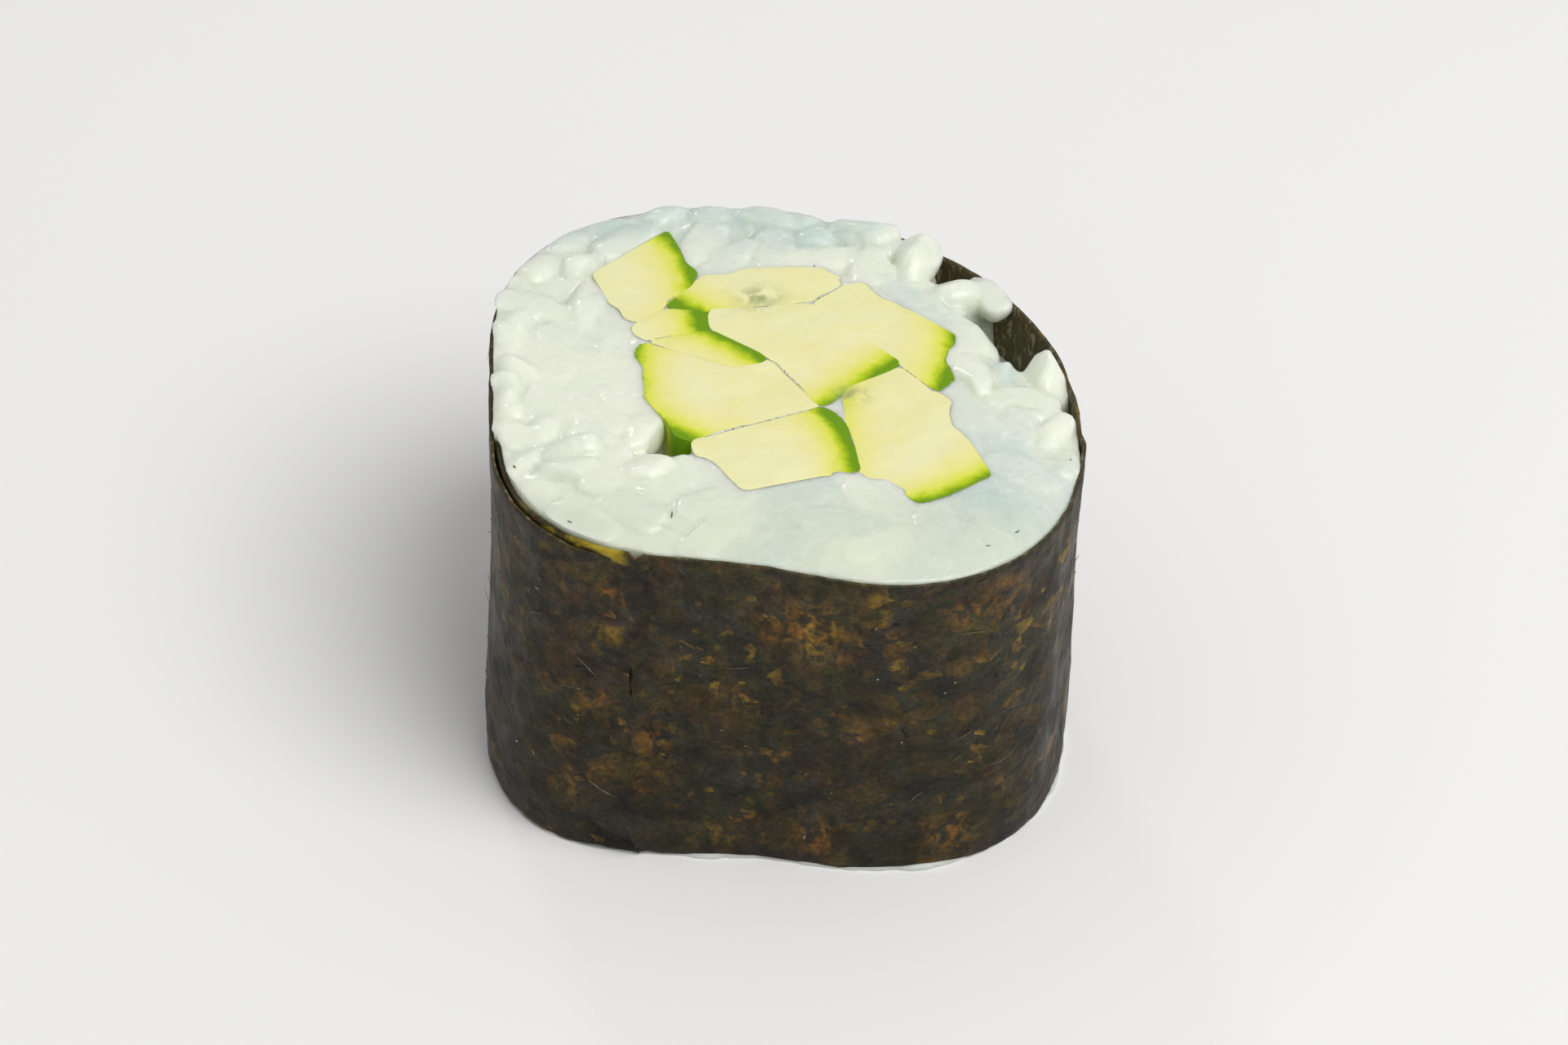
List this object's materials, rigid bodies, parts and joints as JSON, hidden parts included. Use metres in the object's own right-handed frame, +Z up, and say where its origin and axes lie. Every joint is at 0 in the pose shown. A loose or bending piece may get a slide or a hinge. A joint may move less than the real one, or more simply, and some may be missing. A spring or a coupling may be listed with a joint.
{
  "type": "cucumber maki roll",
  "caption": "Cut piece of cucumber maki standing on its end: a nori sheet rolled round pressed rice, with cucumber batons running through it.",
  "frame": {"origin": "middle of the footprint, on the surface that the piece stands on", "axes": "+Z up, along the roll's axis to the cut face; -Y is the front, where the sheet's outer end lies at the left"},
  "size_m": [0.0382, 0.0388, 0.0253],
  "materials": {
    "nori": "damp nori, dark brown-black with a low sheen",
    "rice": "cooked short-grain rice, moist and slightly translucent",
    "cucumber": "raw cucumber, pale yellow-green flesh with a dark green rind"
  },
  "bodies": {
    "root": {"nori": "nori", "rice": "rice", "rice_caught": "rice", "cucumber_back": "cucumber", "cucumber_back_left": "cucumber", "cucumber_front": "cucumber", "cucumber_front_right": "cucumber", "cucumber_left": "cucumber", "cucumber_middle": "cucumber", "cucumber_right": "cucumber", "cucumber_sliver": "cucumber", "cucumber_wedge": "cucumber"}
  },
  "joints": []
}
